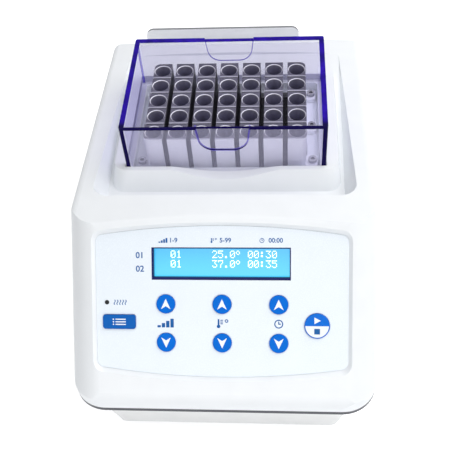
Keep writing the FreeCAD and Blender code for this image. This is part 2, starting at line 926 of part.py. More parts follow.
def thermal_cutout():
    disc = post(0, block_y, pad_top() - cutout_height, pad_top(), cutout_radius)
    crest = [edge for edge in disc.Edges if abs(edge.BoundBox.ZMax - (pad_top() - cutout_height)) < 1e-6]
    return disc.makeFillet(cutout_edge, crest)


def temperature_sensor():
    z = block_bottom + sensor_rise
    end = block_y + block_depth / 2
    return rear_bar(sensor_x, z, end - sensor_length + sensor_end_gap, end + sensor_stub, sensor_radius)


def bracket_half_x():
    return block_width / 2 + bracket_gap + bracket_sheet


def bracket_screw_places():
    x = bracket_half_x() + bracket_flange / 2
    return [(side * x, block_y + step * ear_pitch / 2) for side in (-1, 1) for step in (-1, 1)]


def heater_bracket():
    """Folded sheet that carries the pad, mat and block from under the tray."""
    low = pad_top() - pad_thickness - bracket_sheet
    x = bracket_half_x()
    y = block_depth / 2 - 2 * pad_inset
    tray = box(-x, x, block_y - y, block_y + y, low, tray_under)
    inner = x - bracket_sheet
    body = tray.cut(box(-inner, inner, -far, far, low + bracket_sheet, far))
    flanges = []
    for side in (-1, 1):
        ends = sorted((side * (x - bracket_sheet), side * (x + bracket_flange)))
        flange_low = tray_under - bracket_sheet
        flanges.append(box(ends[0], ends[1], block_y - y, block_y + y, flange_low, tray_under))
    body = fuse([body] + flanges)
    low, high = tray_under - 2 * bracket_sheet, tray_under + 1
    holes = [post(a, b, low, high, screw_radius + screw_fit) for a, b in bracket_screw_places()]
    return body.cut(holes)


def bracket_screws():
    return screws_at(bracket_screw_places(), tray_under - bracket_sheet, bracket_sheet + bracket_screw_bite)


def pan_wire(z, inset):
    share = (z - foot_height) / pan_height
    half = pan_bottom_half_width + (pan_top_half_width - pan_bottom_half_width) * share - inset
    front = front_y + pan_front_inset - pan_front_draft * share + inset
    rear = rear_y - pan_rear_inset + pan_rear_draft * (share - 1) - inset
    return rectangle(-half, half, front, rear, z, [pan_corner - inset] * 4)


def base_pan():
    top = split_z + pan_flange
    shell = Part.makeLoft([pan_wire(foot_height, 0), pan_wire(top, 0)], True, True)
    flange = plan_tunnel(wall + skirt_gap, split_z)
    flange = flange.common(box(-far, far, -far, far, split_z, top))
    hollow = Part.makeLoft([pan_wire(pan_floor, pan_wall), pan_wire(top + 1, pan_wall)], True, True)
    cuts = [hollow]
    for x, y in foot_places():
        cuts.append(post(x, y, 0, pan_floor + 1, screw_radius + screw_fit))
    for x, y in case_screw_places():
        cuts.append(post(x, y, split_z - 1, top + 1, screw_radius + screw_fit))
    for index in range(vent_count):
        y = vent_y + (index - (vent_count - 1) / 2) * vent_pitch
        half, side = vent_length / 2, vent_width / 2
        cuts.append(slab(-half, half, y - side, y + side, 0, pan_floor + 1, side * 0.98))
    return fuse([shell, flange]).cut(cuts)


def foot_places():
    ys = (front_y + foot_front, rear_y - foot_rear)
    return [(side * foot_x, y) for side in (-1, 1) for y in ys]


def rubber_feet():
    shapes = []
    for x, y in foot_places():
        foot = Part.makeCone(foot_tip_radius, foot_radius, foot_height, Vector(x, y, 0))
        bore = post(x, y, -1, foot_bore_depth, foot_bore_radius)
        shapes.append(foot.cut([bore, post(x, y, 0, foot_height + 1, screw_radius + screw_fit)]))
    return Part.makeCompound(shapes)


def feet_screws():
    length = foot_height - foot_bore_depth + pan_wall + foot_screw_bite
    return screws_at(foot_places(), foot_bore_depth, length)


def housing_screws():
    return screws_at(case_screw_places(), split_z, pan_flange + case_screw_length - 1)


def power_board_z():
    return pan_floor + power_board_lift


def power_hole_places():
    x = power_board_width / 2 - power_hole_inset
    y = power_board_depth / 2 - power_hole_inset
    return [(a * x, power_board_y + b * y) for a in (-1, 1) for b in (-1, 1)]


def power_board():
    x, y = power_board_width / 2, power_board_depth / 2
    low = power_board_z()
    board = slab(-x, x, power_board_y - y, power_board_y + y, low, low + board_thickness, board_corner)
    top = low + board_thickness
    relay = block_at(relay_x, power_board_y - relay_front, relay_width, relay_depth, top, top + relay_height)
    terminal_y = power_board_y + y - terminal_inset - terminal_depth / 2
    terminal = block_at(terminal_x, terminal_y, terminal_width, terminal_depth, top, top + terminal_height)
    holes = [post(a, b, 0, far, screw_radius + screw_fit) for a, b in power_hole_places()]
    return fuse([board, relay, terminal]).cut(holes)


def board_standoffs():
    shapes = []
    for x, y in power_hole_places():
        bar = post(x, y, pan_floor, power_board_z(), standoff_radius)
        shapes.append(bar.cut(post(x, y, pan_floor + 1, far, screw_radius + screw_fit)))
    return Part.makeCompound(shapes)


def board_screws():
    seat = power_board_z() + board_thickness
    flipped = screws_at([(x, -y) for x, y in power_hole_places()], -seat, board_thickness + board_screw_bite)
    flipped.Placement = Placement(Vector(0, 0, 0), Rotation(Vector(1, 0, 0), 180))
    return flipped


def transformer():
    half = transformer_size / 2
    x, y = -power_board_width / 4, power_board_y - transformer_front
    low = power_board_z() + board_thickness
    high = low + transformer_height
    core = block_at(x, y, transformer_size, core_thickness, low, high)
    side = half * 0.6
    bobbin = slab(x - side, x + side, y - half, y + half, low + bobbin_low, high - bobbin_drop, bobbin_corner)
    return fuse([core, bobbin])


def triac_heatsink():
    low = power_board_z() + board_thickness
    x, y = power_board_width / 4, power_board_y + sink_back
    width = (sink_fins - 1) * sink_pitch + sink_fin
    parts = [block_at(x, y, width, sink_length, low, low + sink_base)]
    for index in range(sink_fins):
        middle = x + (index - (sink_fins - 1) / 2) * sink_pitch
        parts.append(block_at(middle, y, sink_fin, sink_length, low, low + sink_height))
    return fuse(parts)


def filter_capacitors():
    low = power_board_z() + board_thickness
    shapes = []
    for step in (-1, 0, 1):
        x = -power_board_width / 4 + step * (2 * capacitor_radius + capacitor_gap)
        can = post(x, power_board_y + capacitor_back, low, low + capacitor_height, capacitor_radius)
        crest = [edge for edge in can.Edges if abs(edge.BoundBox.ZMin - low - capacitor_height) < 1e-6]
        shapes.append(can.makeFillet(capacitor_edge, crest))
    return Part.makeCompound(shapes)


def rear_panel():
    face = outline(
        [Vector(plate_left, rear_y, plate_bottom), Vector(plate_right, rear_y, plate_bottom),
         Vector(plate_right, rear_y, plate_top), Vector(plate_left, rear_y, plate_top)],
        [plate_corner / 2, plate_corner / 2, plate_corner, plate_corner])
    plate = Part.Face(face).extrude(Vector(0, plate_thickness, 0))
    cuts = rear_holes(rear_cut_gap)
    for x, z in plate_screw_places():
        cuts.append(rear_bar(x, z, rear_y - 1, plate_face + 1, screw_radius + screw_fit))
    return plate.cut(cuts)


def rear_panel_screws():
    shapes = []
    for x, z in plate_screw_places():
        head = rear_bar(x, z, plate_face, plate_face + bezel_thickness, head_radius)
        shank = rear_bar(x, z, rear_y - wall - 2, plate_face, screw_radius)
        floor = bezel_face - recess_depth
        cross = rear_hole(x, z, recess_length, recess_width, 0, floor, far)
        upright = rear_hole(x, z, recess_width, recess_length, 0, floor, far)
        shapes.append(fuse([head, shank]).cut([cross, upright]))
    return Part.makeCompound(shapes)


def rear_slab(x, z, width, height, y0, y1, radii):
    half_x, half_z = width / 2, height / 2
    points = [Vector(x - half_x, y0, z - half_z), Vector(x + half_x, y0, z - half_z)]
    points += [Vector(x + half_x, y0, z + half_z), Vector(x - half_x, y0, z + half_z)]
    return Part.Face(outline(points, radii)).extrude(Vector(0, y1 - y0, 0))


def power_inlet():
    """Mains inlet: a flanged body with a socket whose two upper corners are cut off."""
    rim = 2 * inlet_rim
    flange = rear_slab(
        inlet_x, inlet_z, inlet_width + rim, inlet_height + rim, plate_face, bezel_face, [inlet_corner] * 4)
    y0 = bezel_face - inlet_depth
    body = rear_slab(inlet_x, inlet_z, inlet_width, inlet_height, y0, plate_face, [inlet_body_corner] * 4)
    half_x, half_z = socket_width / 2, socket_height / 2
    y1 = bezel_face - socket_depth
    neck_x, neck_z = half_x - socket_bevel, half_z - socket_bevel
    marks = [(-half_x, -half_z), (half_x, -half_z), (half_x, neck_z)]
    marks += [(neck_x, half_z), (-neck_x, half_z), (-half_x, neck_z)]
    points = [Vector(inlet_x + x, y1, inlet_z + z) for x, z in marks]
    radii = [socket_corner] * 2 + [socket_bevel_corner] * 4
    socket = Part.Face(outline(points, radii)).extrude(Vector(0, far, 0))
    return fuse([flange, body]).cut(socket)


def inlet_pins():
    y0 = bezel_face - socket_depth
    shapes = []
    for x, z in ((-pin_spread, -pin_drop), (pin_spread, -pin_drop), (0, earth_rise)):
        ends = (y0, y0 + pin_length)
        shapes.append(rear_slab(inlet_x + x, inlet_z + z, pin_width, pin_height, *ends, [pin_corner] * 4))
    return Part.makeCompound(shapes)


def rocker_axis():
    return Vector(power_switch_x, bezel_face - rocker_pivot_depth, power_switch_z)


def power_switch_body():
    rim = 2 * power_switch_rim
    x, z = power_switch_x, power_switch_z
    width, height = power_switch_width, power_switch_height
    bezel = rear_slab(x, z, width + rim, height + rim, plate_face, bezel_face, [switch_bezel_corner] * 4)
    low = bezel_face - power_switch_depth
    body = rear_slab(x, z, width, height, low, plate_face, [switch_body_corner] * 4)
    half_x = rocker_width / 2 + rocker_gap
    half_z = rocker_half + rocker_end_gap
    reach = math.hypot(rocker_back, rocker_half)
    axis = rocker_axis()
    cavity = box(x - half_x, x + half_x, axis.y - reach - rocker_gap, far, z - half_z, z + half_z)
    span = rocker_width / 2 + rocker_pin_length
    span += rocker_pin_float
    start = axis - Vector(span, 0, 0)
    holes = Part.makeCylinder(rocker_pin_radius + rocker_pin_gap, 2 * span, start, Vector(1, 0, 0))
    return fuse([bezel, body]).cut([cavity, holes])


def power_switch_rocker():
    axis = rocker_axis()
    face = rocker_pivot_depth
    marks = [(-rocker_back, -rocker_half * rocker_taper), (face + rocker_tip, -rocker_half), (face, 0)]
    marks += [(face + rocker_tip, rocker_half), (-rocker_back, rocker_half * rocker_taper)]
    points = [Vector(-rocker_width / 2, out, up) for out, up in marks]
    body = Part.Face(outline(points, [0.8, 0.5, rocker_dish, 0.5, 0.8])).extrude(Vector(rocker_width, 0, 0))
    span = rocker_width / 2 + rocker_pin_length
    pin = Part.makeCylinder(rocker_pin_radius, 2 * span, Vector(-span, 0, 0), Vector(1, 0, 0))
    rocker = fuse([body, pin])
    rocker.Placement = Placement(axis, Rotation(Vector(1, 0, 0), rocker_tilt))
    return rocker


PARTS = [
    upper_housing, lid_surround, base_pan, rear_panel, rear_panel_screws, rubber_feet, feet_screws,
    housing_screws, panel_overlay, lcd_cell, lcd_module, heating_led, control_board, tact_switches,
    control_standoffs, control_screws, lid, heating_block, block_screws, heater_mat, insulation_pad,
    heater_bracket, bracket_screws, temperature_sensor, thermal_cutout, power_board, transformer,
    triac_heatsink, filter_capacitors, board_standoffs, board_screws, power_inlet, inlet_pins,
    power_switch_body, power_switch_rocker,
]


def main():
    os.makedirs("parts", exist_ok=True)
    nodes = {part.__name__: part() for part in PARTS}
    nodes.update(key_shapes())
    for name, shape in nodes.items():
        shape.exportStep("parts/" + name + ".step")
        print(name, "solids", len(shape.Solids), "valid", shape.isValid(), "volume", round(shape.Volume, 1))


main()
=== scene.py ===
import json
import math

import bmesh
import bpy
import numpy as np
from mathutils import Matrix, Vector


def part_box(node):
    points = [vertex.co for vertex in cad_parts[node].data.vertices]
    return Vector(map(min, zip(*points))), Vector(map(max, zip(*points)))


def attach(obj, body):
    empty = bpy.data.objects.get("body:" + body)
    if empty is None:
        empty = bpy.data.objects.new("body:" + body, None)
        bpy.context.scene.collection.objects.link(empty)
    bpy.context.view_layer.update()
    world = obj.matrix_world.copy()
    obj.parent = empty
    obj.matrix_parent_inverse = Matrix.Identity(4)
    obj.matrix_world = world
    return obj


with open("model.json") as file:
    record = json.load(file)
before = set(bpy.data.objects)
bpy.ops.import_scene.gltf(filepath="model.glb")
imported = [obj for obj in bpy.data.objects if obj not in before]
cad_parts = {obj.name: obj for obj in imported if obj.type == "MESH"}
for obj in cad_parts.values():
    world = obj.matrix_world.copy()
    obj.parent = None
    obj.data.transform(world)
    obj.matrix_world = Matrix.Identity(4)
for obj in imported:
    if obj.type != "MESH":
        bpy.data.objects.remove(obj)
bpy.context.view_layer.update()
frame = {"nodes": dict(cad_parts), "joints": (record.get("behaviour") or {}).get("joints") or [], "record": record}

# Looks of a dry block heater, in metres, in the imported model's frame

NODES = frame["nodes"]
SLOTS = {row["node"]: row["material_slot"] for row in frame["record"]["subparts"]}
AXES = {joint["name"]: Vector(joint["axis"]) for joint in frame["joints"]}
MM = 0.001

# Axes of the sloping panel: out of it, and up its slope
PANEL_OUT = -AXES["start_stop_key_press"]
PANEL_UP = Vector((0, PANEL_OUT.z, -PANEL_OUT.y))


# Colours

def srgb(red, green, blue):
    """Linear colour of an 8-bit screen colour."""
    out = []
    for value in (red, green, blue):
        share = value / 255
        out.append(share / 12.92 if share <= 0.04045 else ((share + 0.055) / 1.055) ** 2.4)
    return (*out, 1.0)


def shade(colour, share):
    """A colour times a share."""
    return (*[value * share for value in colour[:3]], 1.0)


HOUSING_WHITE = srgb(240, 243, 246)
FILM_WHITE = srgb(236, 244, 252)
PAN_GREY = srgb(236, 237, 237)
# Painted shade of the gap under the case's lip, along the parting line of the case and the pan
SEAM_SHADE_BLACK = srgb(24, 28, 44)
PLATE_WHITES = (srgb(246, 247, 249), srgb(251, 252, 253))
PLATE_EDGE_GREY = srgb(120, 122, 126)
PRINT_NAVY = srgb(12, 92, 162)
PRINT_WHITE = srgb(246, 249, 252)
WINDOW_NAVY = srgb(6, 10, 84)
KEY_BLUE = srgb(0, 110, 218)
KEY_NAVY = srgb(0, 96, 184)
PART_BLACK = srgb(26, 26, 28)
FOOT_BLACK = srgb(40, 40, 42)
SCREW_GREY = srgb(168, 168, 172)
BRACKET_GREY = srgb(176, 176, 178)
BRASS_YELLOW = srgb(206, 176, 112)
HEATER_ORANGE = srgb(198, 96, 52)
FELT_CREAM = srgb(224, 220, 208)
BOARD_GREEN = srgb(24, 106, 62)
CORE_BROWN = srgb(96, 84, 70)
FLOOR_WHITES = (srgb(232, 233, 235), srgb(236, 237, 239))


# Material nodes

def new_material(name):
    """An empty material, its node tree and its main shader."""
    material = bpy.data.materials.new(name)
    material.use_nodes = True
    tree = material.node_tree
    return material, tree, tree.nodes["Principled BSDF"]


def link(tree, source, target):
    tree.links.new(source, target)


def feed(tree, value, socket):
    """Links a node's output to a socket, or sets a constant on it."""
    if hasattr(value, "links"):
        link(tree, value, socket)
    else:
        socket.default_value = value


def math_node(tree, operation, first, second=0.0):
    node = tree.nodes.new("ShaderNodeMath")
    node.operation = operation
    feed(tree, first, node.inputs[0])
    feed(tree, second, node.inputs[1])
    return node.outputs["Value"]


def minus(tree, first, second):
    return math_node(tree, "SUBTRACT", first, second)


def times(tree, first, second):
    return math_node(tree, "MULTIPLY", first, second)


def smaller(tree, first, second):
    return math_node(tree, "MINIMUM", first, second)


def larger(tree, first, second):
    return math_node(tree, "MAXIMUM", first, second)


def below(tree, value, limit):
    """1 where a value is below a limit, else 0."""
    return math_node(tree, "LESS_THAN", value, limit)


def above(tree, value, limit):
    """1 where a value is above a limit, else 0."""
    return math_node(tree, "GREATER_THAN", value, limit)


def distance_node(tree, first, second):
    """Length of the diagonal of two lengths, each counted from 0 up."""
    squares = [math_node(tree, "POWER", larger(tree, part, 0.0), 2.0) for part in (first, second)]
    return math_node(tree, "SQRT", math_node(tree, "ADD", *squares))


def vector_node(tree, operation, first, second=None):
    """Vector maths on a node's output and, if given, a constant vector."""
    node = tree.nodes.new("ShaderNodeVectorMath")
    node.operation = operation
    link(tree, first, node.inputs[0])
    if second is not None:
        node.inputs[1].default_value = second
    return node


def split_node(tree, vector):
    node = tree.nodes.new("ShaderNodeSeparateXYZ")
    link(tree, vector, node.inputs["Vector"])
    return node.outputs["X"], node.outputs["Y"], node.outputs["Z"]


def place_node(tree):
    """The object's own coordinates, which are the frame's."""
    return tree.nodes.new("ShaderNodeTexCoord").outputs["Object"]


def normal_parts(tree):
    """Absolute parts of the surface's direction."""
    parts = split_node(tree, tree.nodes.new("ShaderNodeNewGeometry").outputs["Normal"])
    return [math_node(tree, "ABSOLUTE", part) for part in parts]


def noise_node(tree, scale, detail, stretch=None):
    """Noise over the object's own coordinates, in cycles per metre."""
    noise = tree.nodes.new("ShaderNodeTexNoise")
    noise.inputs["Scale"].default_value = scale
    noise.inputs["Detail"].default_value = detail
    source = place_node(tree)
    if stretch:
        mapping = tree.nodes.new("ShaderNodeMapping")
        mapping.inputs["Scale"].default_value = stretch
        link(tree, source, mapping.inputs["Vector"])
        source = mapping.outputs["Vector"]
    link(tree, source, noise.inputs["Vector"])
    return noise.outputs["Fac"]


def range_node(tree, value, low, high, start=0.3, stop=0.7):
    """From low to high while a value goes from start to stop; the defaults are most of a noise's spread."""
    node = tree.nodes.new("ShaderNodeMapRange")
    node.inputs["From Min"].default_value = start
    node.inputs["From Max"].default_value = stop
    node.inputs["To Min"].default_value = low
    node.inputs["To Max"].default_value = high
    link(tree, value, node.inputs["Value"])
    return node.outputs["Result"]


def mix_node(tree, factor, first, second):
    """Blend of two colours."""
    node = tree.nodes.new("ShaderNodeMix")
    node.data_type = "RGBA"
    feed(tree, factor, node.inputs[0])
    feed(tree, first, node.inputs[6])
    feed(tree, second, node.inputs[7])
    return node.outputs[2]


def drift_node(tree, colours, scale, detail):
    """Uneven change between two colours."""
    return mix_node(tree, range_node(tree, noise_node(tree, scale, detail), 0, 1), *colours)


def bump_node(tree, height, strength, distance):
    node = tree.nodes.new("ShaderNodeBump")
    node.inputs["Strength"].default_value = strength
    node.inputs["Distance"].default_value = distance
    link(tree, height, node.inputs["Height"])
    return node.outputs["Normal"]


def mix_shaders(tree, factor, first, second):
    """Blend of two shader nodes."""
    node = tree.nodes.new("ShaderNodeMixShader")
    link(tree, factor, node.inputs["Fac"])
    link(tree, first.outputs[0], node.inputs[1])
    link(tree, second.outputs[0], node.inputs[2])
    return node


def show_shader(tree, node):
    """Makes a shader node the material's surface."""
    link(tree, node.outputs[0], tree.nodes["Material Output"].inputs["Surface"])


# Plain materials

GRAIN_DEPTH = 0.2 * MM
# Reach of the painted shade band below and above the parting line
SEAM_BELOW = 3.0 * MM
SEAM_ABOVE = 3.3 * MM
SEAM_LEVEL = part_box("upper_housing")[0].z
PLATE_FACE = (0.5, 0.9)


def seam_shade_mask(tree):
    """1 along the parting line of the case and the pan, where the shade of the gap under the case's lip is
    painted.
    """
    height = split_node(tree, place_node(tree))[2]
    over = above(tree, height, SEAM_LEVEL - SEAM_BELOW)
    return times(tree, over, below(tree, height, SEAM_LEVEL + SEAM_ABOVE))


def mottled(name, colour, spread=0.03, scale=60, roughness=(0.3, 0.42), grain=1800, bump=0.04, metallic=0.0,
            stretch=None, sheen=0.5, seam_shade=False):
    """Even surface with slow colour drift, uneven gloss, a fine grain and, if asked, painted shade: a dark band
    along the parting line of the case and the pan.
    """
    material, tree, shader = new_material(name)
    fine = noise_node(tree, grain, detail=2, stretch=stretch)
    base = drift_node(tree, (shade(colour, 1 - spread), shade(colour, 1 + spread)), scale, detail=3)
    # Painted shade of the gap under the lip: a dark band across the parting line
    if seam_shade:
        base = mix_node(tree, seam_shade_mask(tree), base, SEAM_SHADE_BLACK)
    link(tree, base, shader.inputs["Base Color"])
    link(tree, range_node(tree, fine, *roughness), shader.inputs["Roughness"])
    link(tree, bump_node(tree, fine, bump, GRAIN_DEPTH), shader.inputs["Normal"])
    shader.inputs["Metallic"].default_value = metallic
    shader.inputs["Specular IOR Level"].default_value = sheen
    return material


def edged_plate():
    """White coated plate, grey on its faces that are not turned to the front or the back."""
    material, tree, shader = new_material("edged_plate")
    face = range_node(tree, normal_parts(tree)[1], 0, 1, *PLATE_FACE)
    coat = drift_node(tree, PLATE_WHITES, scale=120, detail=2)
    link(tree, mix_node(tree, face, PLATE_EDGE_GREY, coat), shader.inputs["Base Color"])
    shader.inputs["Roughness"].default_value = 0.4
    return material


# Lid

LID_WALL = 3.0 * MM
LID_SKIN = 0.15 * MM
LID_SIDE_EDGE = 3.4 * MM
LID_BACK_EDGE = 4.6 * MM
LID_FRONT_EDGE = 1.5 * MM
LID_TOP_EDGE = 1.5 * MM
LID_BACK_UPRIGHT = 1.4 * MM
LID_HAZE = srgb(214, 212, 240)
LID_TINT = (0.97, 0.965, 0.992, 1.0)
LID_SIDE_TINT = (0.88, 0.87, 0.97, 1.0)
# Deep violet of the dye along the lid's edges, with painted glow of light carried inside the acrylic: darkest at
# the front, paler along its lines
LID_VIOLETS = (srgb(18, 0, 108), srgb(40, 8, 160))
LID_FRONT_VIOLET = srgb(8, 0, 62)
LID_LINE_VIOLET = srgb(86, 66, 204)
LID_TOP_GLOSS = 0.005
LID_WALL_GLOSS = 0.17
# Painted glow: the lid's edges emit a little light, though the lid is no lamp
LID_EDGE_GLOW = 0.17
LID_LINE_SHARE = 0.55
LID_TURN = (0.4, 0.6)
LID_END_FACE = 0.5
GRIP_HALF_WIDTH = 16.9 * MM
GRIP_SLANT = 0.125
GRIP_HEIGHT = 19.0 * MM
GRIP_CORNER = 9.0 * MM
GRIP_LINE = 0.5 * MM


def lid_distances(tree):
    """Distances of a point of the lid from its nearer side, front, back and top."""
    low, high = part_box("lid")
    x, y, z = split_node(tree, place_node(tree))
    side = smaller(tree, minus(tree, x, low.x), minus(tree, high.x, x))
    return side, minus(tree, y, low.y), minus(tree, high.y, y), minus(tree, high.z, z)


def lid_glow_edges(tree):
    """1 on the lid's edges and cut faces, where the dye's deep violet and a painted glow are put."""
    side, front, back, top = lid_distances(tree)
    upright = below(tree, larger(tree, side, front), LID_WALL)
    strip = larger(tree, below(tree, side, LID_SIDE_EDGE), below(tree, back, LID_BACK_EDGE))
    strip = larger(tree, strip, below(tree, front, LID_FRONT_EDGE))
    strip = times(tree, strip, below(tree, top, LID_TOP_EDGE))
    depth = smaller(tree, smaller(tree, side, smaller(tree, front, back)), top)
    cut = times(tree, above(tree, depth, LID_SKIN), below(tree, depth, LID_WALL - LID_SKIN))
    cut = times(tree, cut, below(tree, normal_parts(tree)[1], LID_END_FACE))
    low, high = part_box("lid")
    cut = times(tree, cut, below(tree, top, high.z - low.z - LID_WALL))
    return larger(tree, larger(tree, upright, strip), cut)


def grip_line(tree, top):
    """1 along the outline of the thumb recess, in a front view of the lid."""
    x = math_node(tree, "ABSOLUTE", split_node(tree, place_node(tree))[0])
    half = minus(tree, GRIP_HALF_WIDTH - GRIP_CORNER, times(tree, top, GRIP_SLANT))
    across = minus(tree, x, half)
    down = minus(tree, top, GRIP_HEIGHT - GRIP_CORNER)
    inner = smaller(tree, larger(tree, across, down), 0.0)
    distance = math_node(tree, "ADD", distance_node(tree, across, down), inner)
    return below(tree, math_node(tree, "ABSOLUTE", minus(tree, distance, GRIP_CORNER)), GRIP_LINE)


def lid_lines(tree):
    """Share of the edge colour and painted glow along the lid's paler lines: the recesses' outlines and the rear
    uprights.
    """
    side, front, back, top = lid_distances(tree)
    grip = times(tree, grip_line(tree, top), below(tree, smaller(tree, front, back), LID_WALL - LID_SKIN))
    upright = below(tree, larger(tree, side, back), LID_BACK_UPRIGHT)
    return times(tree, larger(tree, grip, upright), LID_LINE_SHARE)


def lid_rim_glow(tree, glow_edge):
    """Deep violet of the lid's edges with a painted glow, darkest at the front and paler along its lines."""
    rim = tree.nodes.new("ShaderNodeBsdfPrincipled")
    violet = drift_node(tree, LID_VIOLETS, scale=120, detail=3)
    front = range_node(tree, lid_distances(tree)[1], 1, 0, LID_WALL, 3 * LID_WALL)
    violet = mix_node(tree, front, violet, LID_FRONT_VIOLET)
    violet = mix_node(tree, glow_edge, LID_LINE_VIOLET, violet)
    link(tree, violet, rim.inputs["Base Color"])
    # Painted glow: the edge colour is also emitted
    link(tree, violet, rim.inputs["Emission Color"])
    rim.inputs["Emission Strength"].default_value = LID_EDGE_GLOW
    rim.inputs["Specular IOR Level"].default_value = 0.06
    rim.inputs["Roughness"].default_value = 0.12
    return rim


def lid_acrylic():
    """Clear violet acrylic: nearly colourless walls, and on its edges and cut faces the dye's deep violet with a
    painted glow.
    """
    material, tree, haze = new_material("lid_acrylic")
    haze.inputs["Base Color"].default_value = LID_HAZE
    smears = noise_node(tree, scale=40, detail=4)
    link(tree, range_node(tree, smears, 0.04, 0.12), haze.inputs["Roughness"])
    sideways, lengthways = normal_parts(tree)[:2]
    clear = tree.nodes.new("ShaderNodeBsdfTransparent")
    tint = mix_node(tree, range_node(tree, sideways, 0, 1, *LID_TURN), LID_TINT, LID_SIDE_TINT)
    link(tree, tint, clear.inputs["Color"])
    gloss = range_node(tree, lengthways, LID_TOP_GLOSS, LID_WALL_GLOSS, *LID_TURN)
    wall = mix_shaders(tree, gloss, clear, haze)
    glow_edge = lid_glow_edges(tree)
    show_shader(tree, mix_shaders(tree, larger(tree, glow_edge, lid_lines(tree)), wall, lid_rim_glow(tree, glow_edge)))
    return material


# Heating block

BLOCK_HALF_WIDTH = 52.6 * MM
BLOCK_CORNER = 4.0 * MM
BLOCK_SKIN = 0.4 * MM
WELL_CHAMFER = 0.45 * MM
WELL_SHADE_DEPTH = 5.0 * MM
WELL_ROWS = 5
WELL_PITCH = 15.4 * MM
COLUMN_PITCH = 15.5 * MM
SLOT_REACH = 1.8 * MM
# Widths of the painted highlight on each tile's front edge and of the painted groove shade before it
TILE_HIGHLIGHT_WIDTH = 1.3 * MM
GROOVE_SHADE_WIDTH = 0.7 * MM
MILLING_DEPTH = 0.1 * MM
MILLING_STRETCH = (1.0, 12.0, 1.0)
UP_FACE = (0.75, 0.9)
TILE_GREYS = (srgb(84, 83, 98), srgb(110, 108, 122))
# Painted highlight of the tiles' front edges, and painted shade of the grooves before them
TILE_HIGHLIGHT_GREY = srgb(176, 175, 188)
GROOVE_SHADE_GREY = srgb(18, 18, 26)
# Outer sides and well chamfers painted near white, as lit faces of the same aluminium as the grey tops
LIT_SIDE_GREYS = (srgb(244, 245, 248), srgb(250, 251, 253))
# Painted shade down in the hollows: grey at the wells' mouths, blue grey deep in the wells, near black in the
# slots
WELL_MOUTH_GREY = srgb(132, 131, 142)
WELL_GREY = srgb(132, 130, 156)
SLOT_SHADE_GREY = srgb(6, 6, 12)


def block_inside(tree):
    """1 inside the block's outline, away from its outer sides."""
    low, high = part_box("heating_block")
    x, y = split_node(tree, place_node(tree))[:2]
    sideways = math_node(tree, "ABSOLUTE", x)
    lengthways = math_node(tree, "ABSOLUTE", minus(tree, y, (low.y + high.y) / 2))
    past_side = minus(tree, sideways, BLOCK_HALF_WIDTH - BLOCK_CORNER)
    past_end = minus(tree, lengthways, (high.y - low.y) / 2 - BLOCK_CORNER)
    return below(tree, distance_node(tree, past_side, past_end), BLOCK_CORNER - BLOCK_SKIN)


def tile_tops(tree, marks):
    """Grey tops of the block's tiles, each with a painted highlight along its front edge and painted shade of a
    groove before it.
    """
    low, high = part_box("heating_block")
    y = split_node(tree, place_node(tree))[1]
    row = minus(tree, y, (low.y + high.y) / 2 - WELL_ROWS / 2 * WELL_PITCH)
    row = math_node(tree, "FLOORED_MODULO", row, WELL_PITCH)
    top = mix_node(tree, range_node(tree, marks, 0, 1), *TILE_GREYS)
    # Painted highlight along the front edge, then the painted groove shade
    top = mix_node(tree, below(tree, row, TILE_HIGHLIGHT_WIDTH), top, TILE_HIGHLIGHT_GREY)
    return mix_node(tree, above(tree, row, WELL_PITCH - GROOVE_SHADE_WIDTH), top, GROOVE_SHADE_GREY)


def milled_block():
    """Milled aluminium with painted light and shade: dull grey top, outer sides and well chamfers painted bright
    as lit faces, painted shade down in the wells and slots.
    """
    material, tree, shader = new_material("milled_block")
    block_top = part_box("heating_block")[1].z
    x, _, z = split_node(tree, place_node(tree))
    marks = noise_node(tree, scale=900, detail=2, stretch=MILLING_STRETCH)
    # Painted light: faces not turned up, on the sides and at the top, get the near white of lit faces
    side = mix_node(tree, range_node(tree, marks, 0, 1), *LIT_SIDE_GREYS)
    facing_up = range_node(tree, normal_parts(tree)[2], 0, 1, *UP_FACE)
    at_top = above(tree, z, block_top - WELL_SHADE_DEPTH)
    face = mix_node(tree, times(tree, facing_up, at_top), side, tile_tops(tree, marks))
    # Painted shade in the wells and slots, changing with depth below the mouth, to near black in the slots
    across = math_node(tree, "FLOORED_MODULO", x, COLUMN_PITCH)
    across = math_node(tree, "ABSOLUTE", minus(tree, across, COLUMN_PITCH / 2))
    deep_shade = mix_node(tree, below(tree, across, SLOT_REACH), WELL_GREY, SLOT_SHADE_GREY)
    sunk_shade = range_node(tree, z, 1.0, 0.0, block_top - WELL_SHADE_DEPTH, block_top - WELL_CHAMFER)
    wall = mix_node(tree, sunk_shade, WELL_MOUTH_GREY, deep_shade)
    hollow = times(tree, block_inside(tree), above(tree, sunk_shade, 0.0))
    link(tree, mix_node(tree, hollow, face, wall), shader.inputs["Base Color"])
    link(tree, range_node(tree, marks, 0.34, 0.46), shader.inputs["Roughness"])
    link(tree, bump_node(tree, marks, 0.06, MILLING_DEPTH), shader.inputs["Normal"])
    shader.inputs["Metallic"].default_value = 0.1
    shader.inputs["Specular IOR Level"].default_value = 0.3
    return material


# Display and start key

GLOW_TOP = srgb(72, 194, 244)
GLOW_FOOT = srgb(88, 226, 255)
CELL_BLUE = srgb(20, 90, 190)
CELL_SHARE = 0.08
GLASS_BLUE = srgb(20, 80, 150)
DOT_WHITES = (srgb(226, 248, 255), srgb(246, 253, 255))
KEY_SPLIT_BLUR = 0.02 * MM
KEY_RING = 0.62 * MM
KEY_RING_BLUR = 0.06 * MM


